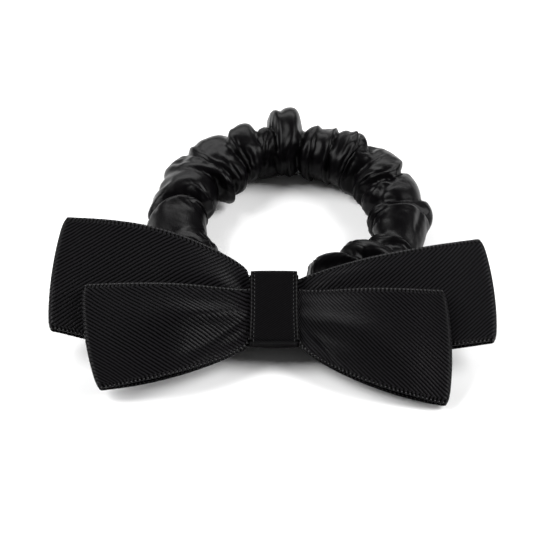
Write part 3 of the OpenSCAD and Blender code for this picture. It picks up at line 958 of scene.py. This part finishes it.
def ribbon_strip(bow, bow_name):
    """The whole ribbon of a bow as rows of points: along the back to the right fold, along the
    front to the left fold, and back to the middle, where its ends lap."""
    left, right = LOOPS[bow_name]
    v = np.linspace(-1, 1, RIBBON_COLUMNS)
    rows = []

    def lay(loop, start, stop, layer, count, inset=0.0):
        for d in np.linspace(start, stop, count):
            rows.append(loop_surface(bow, bow_name, loop, d, layer, v, inset))

    def fold(loop, first):
        """Half a turn round the fold, from layer first to the other."""
        a, b = (loop_surface(bow, bow_name, loop, reach_of(loop), layer, v)
                for layer in (first, -first))
        centre, arm = (a + b) / 2, (a - b) / 2
        tip = np.linalg.norm(arm, axis=-1, keepdims=True)
        ahead = np.zeros_like(a)
        slope = math.radians(loop["slope"] + loop["turn"])
        ahead[..., 0], ahead[..., 1] = loop["side"] * math.cos(slope), math.sin(slope)
        for angle in np.linspace(0, math.pi, 9)[1:-1]:
            rows.append(centre + arm * math.cos(angle) + ahead * tip * math.sin(angle))

    def reach_of(loop):
        return loop["length"] * MM - FOLD_HALF[bow_name]

    inner = bow.ribbon_thickness + 0.03 * MM
    lay(left, bow.lap, 0, -1, LAP_POINTS)
    lay(right, 0, reach_of(right), -1, LAYER_ROWS)
    fold(right, -1)
    lay(right, reach_of(right), 0, 1, LAYER_ROWS)
    lay(left, 0, reach_of(left), 1, LAYER_ROWS)
    fold(left, 1)
    # Back at the middle, the ribbon's end lies inside its start
    lay(left, reach_of(left), 4 * MM, -1, LAYER_ROWS - 6)
    lay(left, 3.4 * MM, 0, -1, 6, inner)
    lay(right, 0, bow.lap, -1, LAP_POINTS, inner)
    points = np.array(rows)
    keep = np.concatenate([[True], np.linalg.norm(np.diff(points[:, RIBBON_COLUMNS // 2], axis=0),
                                                  axis=1) > 1e-6])
    return points[keep]


def ribbon_normals(points):
    along = np.gradient(points, axis=0)
    across = np.gradient(points, axis=1)
    normal = np.cross(along, across)
    return normal / np.maximum(np.linalg.norm(normal, axis=-1, keepdims=True), 1e-12)


def make_ribbon(bow, bow_name):
    """One ribbon as a bow, with its woven edges and the stitches through its lapped ends."""
    strip = ribbon_strip(bow, bow_name)
    points = from_bow(strip)
    run = lengths_along(points[:, RIBBON_COLUMNS // 2])
    flat_v = np.linspace(-bow.ribbon_width / 2, bow.ribbon_width / 2, RIBBON_COLUMNS)
    obj = grid_mesh(bow_name + "_bow_satin", points, strip_maps(points, run, flat_v))
    thicken(obj, bow.ribbon_thickness)
    dress(obj, bow_name + "_ribbon")
    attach(obj, "bow")
    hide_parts(bow_name + "_bow_ribbon")
    # Bars of the woven edge, proud of both faces
    normal = ribbon_normals(points)
    paths, outs = [], []
    for column, inward in ((0, 1), (RIBBON_COLUMNS - 1, -2)):
        edge = points[:, column]
        paths.append(edge + unit(points[:, inward] - edge) * 0.22 * MM)
        outs.append(normal[:, column])
    bars = stitch_rows(bow_name + "_bow_selvedge", paths, outs, bow.selvedge_pitch,
                       (0.6 * MM, 0.42 * MM, bow.ribbon_thickness + 0.1 * MM), 0.0, 0.12)
    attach(bars, "bow")
    # Stitches through the lapped ends, under the band
    mid = STITCH_MID[bow_name]
    down = -STACK / 2 - 0.45 * bow.ribbon_thickness
    across = np.linspace(-0.75, 0.75, 12) * PINCH[bow_name][1] * MM
    seams = [from_bow([[x, mid[1] + y, mid[2] + down] for y in across])
             for x in (-3.4 * MM, 3.4 * MM)]
    tacks = stitch_rows(bow_name + "_bow_tacks", seams, [np.tile(-BOW_OUT, (12, 1))] * 2,
                        1.7 * MM, (1.1 * MM, 0.28 * MM, 0.28 * MM), 0.0, 0.12)
    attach(tacks, "bow")
    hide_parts(bow_name + "_bow_stitches")


class SCRUNCHIE_OT_back_bow(bpy.types.Operator):
    """Make the wider bow behind, one ribbon folded into two loops"""
    bl_idname = "scrunchie.back_bow"
    bl_label = "Back bow"

    def execute(self, context):
        make_ribbon(context.scene.scrunchie_bow, "back")
        return {"FINISHED"}


class SCRUNCHIE_OT_front_bow(bpy.types.Operator):
    """Make the narrower bow in front, one ribbon folded into two loops"""
    bl_idname = "scrunchie.front_bow"
    bl_label = "Front bow"

    def execute(self, context):
        make_ribbon(context.scene.scrunchie_bow, "front")
        return {"FINISHED"}


# ---- The band round the knot ----
BAND_THICKNESS = 0.34 * MM
# How far the band's lower and upper edges stand above those of its CAD solid
BAND_FOOT_UP = 1.1 * MM
BAND_TOP_UP = 0.3 * MM
BAND_COLUMNS = 25
# Rows of the band that lie over its start, behind the sleeve
LAP_ROWS = 34


def hull_outline(points):
    """Convex outline of points in a plane, in order."""
    points = sorted(set(map(tuple, points)))

    def half(ordered):
        chain = []
        for p in ordered:
            while len(chain) > 1:
                (ax, ay), (bx, by) = chain[-2], chain[-1]
                if (bx - ax) * (p[1] - ay) - (by - ay) * (p[0] - ax) > 0:
                    break
                chain.pop()
            chain.append(p)
        return chain[:-1]

    return np.array(half(points) + half(points[::-1]))


def band_outline(grow):
    """The band's path round ribbons and sleeve, in the bow's (up, out) plane, from behind."""
    thick = 0.5 * MM
    corner = 0.45 * MM
    inner_r = -BAND_LOW[2] - thick

    def circle(y, z, radius, count):
        return [np.array([y, z]) + radius * np.array([math.cos(a), math.sin(a)])
                for a in np.linspace(0, TAU, count, endpoint=False)]

    # A circle round the sleeve, and rounded corners round the ribbons' pinched middle
    dots = circle(0.0, 0.0, inner_r + grow, 96)
    for y in (BAND_LOW[1] + thick + corner + BAND_FOOT_UP,
              BAND_HIGH[1] - thick - corner + BAND_TOP_UP):
        for z in (inner_r + 0.5 * MM, BAND_HIGH[2] - thick - corner):
            dots += circle(y, z, corner + grow, 24)
    outline = hull_outline(np.array(dots))
    closed = np.vstack([outline, outline[:1]])
    run = lengths_along(closed)
    even = np.linspace(0, run[-1], 221)[:-1]
    path = np.stack([np.interp(even, run, closed[:, k]) for k in range(2)], axis=1)
    start = int(np.argmin(path[:, 1] - 0.6 * path[:, 0]))
    return np.roll(path, -start, axis=0)


class SCRUNCHIE_OT_gathering(bpy.types.Operator):
    """Make the thread wound round both pinched bows, under the band"""
    bl_idname = "scrunchie.gathering"
    bl_label = "Gathering thread"

    def execute(self, context):
        low = STITCH_MID["back"][2] - STACK / 2
        high = STITCH_MID["front"][2] + STACK / 2
        mid_y = STITCH_MID["back"][1]
        half_y, half_z = 6.6 * MM, (high - low) / 2 + 0.14 * MM
        angles = np.linspace(0, TAU, 121)
        outward = np.stack([0 * angles, np.cos(angles), np.sin(angles)], axis=-1)
        # Flattened turns, as a square with round corners
        shape = np.sign(outward) * np.abs(outward) ** 0.35
        turns = [from_bow(np.stack([x + 0.35 * MM * angles / TAU, mid_y + half_y * shape[:, 1],
                                    (low + high) / 2 + half_z * shape[:, 2]], axis=-1))
                 for x in (-1.3 * MM, 0.0, 1.3 * MM)]
        thread = stitch_rows("gathering_turns", turns, [outward @ BOW_AXES] * 3, 0.7 * MM,
                             (0.9 * MM, 0.26 * MM, 0.2 * MM), 0.0, 0.05)
        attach(thread, "bow")
        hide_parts("gathering_thread")
        return {"FINISHED"}


class SCRUNCHIE_OT_band(bpy.types.Operator):
    """Make the narrow satin band, wrapped once round the knot and lapped behind"""
    bl_idname = "scrunchie.band"
    bl_label = "Knot band"

    def execute(self, context):
        bow = context.scene.scrunchie_bow
        loop = band_outline(BAND_THICKNESS / 2)
        path = np.vstack([loop, loop[:LAP_ROWS]])
        count = len(path)
        out = path - np.array([[STITCH_MID["back"][1] * 0.5, 3 * MM]])
        edge = np.roll(path, -1, axis=0) - np.roll(path, 1, axis=0)
        edge[0], edge[-1] = path[1] - path[0], path[-1] - path[-2]
        normal = unit(np.stack([edge[:, 1], -edge[:, 0]], axis=1))
        normal *= np.sign(np.sum(normal * out, axis=1))[:, None]
        over = smooth((np.arange(count) - (count - LAP_ROWS - 8)) / 8)[:, None]
        path = path + normal * over * (BAND_THICKNESS + 0.03 * MM)
        v = np.linspace(-1, 1, BAND_COLUMNS)[None, :]
        run = lengths_along(path)
        # The band's front is a little wider at its foot, and softly uneven
        foot = smooth((-path[:, 0] / MM - 3) / 8)[:, None]
        x = v * (BAND_HALF - 0.25 * MM * (1 - foot) * (path[:, 1] > 5 * MM)[:, None])
        wave = 0.05 * MM * np.sin(run[:, None] / (2.3 * MM)) * np.cos(2.2 * v)
        curl = -0.06 * MM * np.abs(v) ** 8
        rise = 0.14 * MM * (1 - v ** 2) + wave + curl
        points = from_bow(np.stack([x, path[:, :1] + normal[:, :1] * rise,
                                    path[:, 1:] + normal[:, 1:] * rise], axis=-1))
        obj = grid_mesh("knot_band_satin", points, strip_maps(points, run, v[0] * BAND_HALF))
        thicken(obj, BAND_THICKNESS)
        dress(obj, "band")
        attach(obj, "bow")
        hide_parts("knot_band")
        face = ribbon_normals(points)
        face *= np.sign(np.sum(face[:, BAND_COLUMNS // 2] * (
            normal[:, :1] * BOW_UP + normal[:, 1:] * BOW_OUT), axis=1))[:, None, None]
        columns = (2, BAND_COLUMNS - 3)
        edge_stitches = stitch_rows(
            "knot_band_edge", [points[:, c] + face[:, c] * BAND_THICKNESS * 0.42 for c in columns],
            [face[:, c] for c in columns], bow.selvedge_pitch, (0.55 * MM, 0.2 * MM, 0.1 * MM),
            0.0, 0.1)
        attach(edge_stitches, "bow")
        # Stitches over the lapped end
        end_out = face[-3, 2:-2] * BAND_THICKNESS * 0.5
        tacks = stitch_rows("band_tacks", [points[-3, 2:-2] + end_out], [end_out], 1.5 * MM,
                            (1.1 * MM, 0.28 * MM, 0.26 * MM), math.radians(62))
        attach(tacks, "bow")
        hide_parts("band_tack_stitches")
        return {"FINISHED"}


# ---- Pieces kept from the frame ----
class SCRUNCHIE_OT_inside(bpy.types.Operator):
    """Give the elastic and the threads inside their finish"""
    bl_idname = "scrunchie.inside"
    bl_label = "Elastic and threads"

    def execute(self, context):
        for node, finish in (("elastic_loop", "elastic"), ("elastic_whipping", "thread")):
            dress(frame["nodes"][node], finish)
        return {"FINISHED"}


# ---- Stage ----
# The soft lights: name, place, size (m) and power (W). They face the scrunchie
LIGHTS = (("left_box", (-1.0, 0.1, 0.9), (0.8, 0.9), 25),
          ("right_box", (1.05, 0.0, 0.8), (0.7, 0.9), 24),
          ("back_box", (0.0, 1.2, 0.7), (1.4, 0.5), 11))
ROOM_LIGHT = 0.12
FLOOR_HALF = 6.0
SENSOR_WIDTH = 36


def area_light(name, place, size, power):
    light = bpy.data.lights.new(name, "AREA")
    light.shape = "RECTANGLE"
    light.size, light.size_y = size
    light.energy = power
    obj = new_object(name, light)
    obj.location = place
    obj.rotation_euler = (Vector() - Vector(place)).to_track_quat("-Z", "Y").to_euler()


class SCRUNCHIE_OT_stage(bpy.types.Operator):
    """Make the pale floor, the soft light and the camera"""
    bl_idname = "scrunchie.stage"
    bl_label = "Stage"

    def execute(self, context):
        stage = context.scene.scrunchie_stage
        floor = bpy.data.meshes.new("floor")
        corners = [(-1, -1), (1, -1), (1, 1), (-1, 1)]
        floor.from_pydata([(FLOOR_HALF * x, FLOOR_HALF * y, 0) for x, y in corners], [],
                          [(0, 1, 2, 3)])
        floor_obj = new_object("floor", floor)
        material, _, shader = new_material("pale_floor", 0.9, 0.1)
        shader.inputs["Base Color"].default_value = (0.93, 0.93, 0.93, 1)
        floor.materials.append(material)
        world = bpy.data.worlds.new("soft_room")
        world.use_nodes = True
        room = world.node_tree.nodes["Background"].inputs
        room[0].default_value = (1, 1, 1, 1)
        room[1].default_value = ROOM_LIGHT
        context.scene.world = world
        for light in LIGHTS:
            area_light(*light)
        camera = bpy.data.cameras.new("camera")
        camera.sensor_width = SENSOR_WIDTH
        camera.lens = SENSOR_WIDTH * stage.distance / stage.view_width
        camera.clip_start, camera.clip_end = 0.05, 20
        obj = new_object("camera", camera)
        el = stage.elevation
        ahead = Vector((0, math.cos(el), -math.sin(el)))
        up = Vector((0, math.sin(el), math.cos(el)))
        # The picture's middle is a little left of and below the ring's middle
        aim = Vector((-2.8 * MM, 0, RING_Z)) - up * 10.6 * MM
        obj.location = aim - ahead * stage.distance
        obj.rotation_mode = "QUATERNION"
        obj.rotation_quaternion = ahead.to_track_quat("-Z", "Y")
        context.scene.camera = obj
        context.scene.view_settings.view_transform = "Standard"
        return {"FINISHED"}


# ---- Panel and registration ----
class SCRUNCHIE_PT_sidebar(bpy.types.Panel):
    """Lists the scrunchie's pieces and their sizes"""
    bl_label = "Satin bow scrunchie"
    bl_idname = "SCRUNCHIE_PT_sidebar"
    bl_space_type = "VIEW_3D"
    bl_region_type = "UI"
    bl_category = "Scrunchie"

    def draw(self, context):
        layout = self.layout
        for operator in OPERATORS:
            layout.operator(operator.bl_idname)
        for label in GROUPS:
            group = getattr(context.scene, label)
            box = layout.box()
            for name in group.bl_rna.properties.keys():
                if name not in ("rna_type", "name"):
                    box.prop(group, name)


OPERATORS = (SCRUNCHIE_OT_stage, SCRUNCHIE_OT_inside, SCRUNCHIE_OT_sleeve,
             SCRUNCHIE_OT_back_bow, SCRUNCHIE_OT_front_bow, SCRUNCHIE_OT_gathering,
             SCRUNCHIE_OT_band)
GROUPS = {"scrunchie_sleeve": SleeveSettings, "scrunchie_bow": BowSettings,
          "scrunchie_stage": StageSettings}
CLASSES = (*GROUPS.values(), *OPERATORS, SCRUNCHIE_PT_sidebar)


def register():
    for cls in CLASSES:
        bpy.utils.register_class(cls)
    for label, group in GROUPS.items():
        setattr(bpy.types.Scene, label, bpy.props.PointerProperty(type=group))


def unregister():
    for label in reversed(GROUPS):
        delattr(bpy.types.Scene, label)
    for cls in reversed(CLASSES):
        bpy.utils.unregister_class(cls)


def main():
    register()
    bpy.ops.scrunchie.stage()
    bpy.ops.scrunchie.inside()
    bpy.ops.scrunchie.sleeve()
    bpy.ops.scrunchie.back_bow()
    bpy.ops.scrunchie.front_bow()
    bpy.ops.scrunchie.gathering()
    bpy.ops.scrunchie.band()


if __name__ == "__main__":
    main()
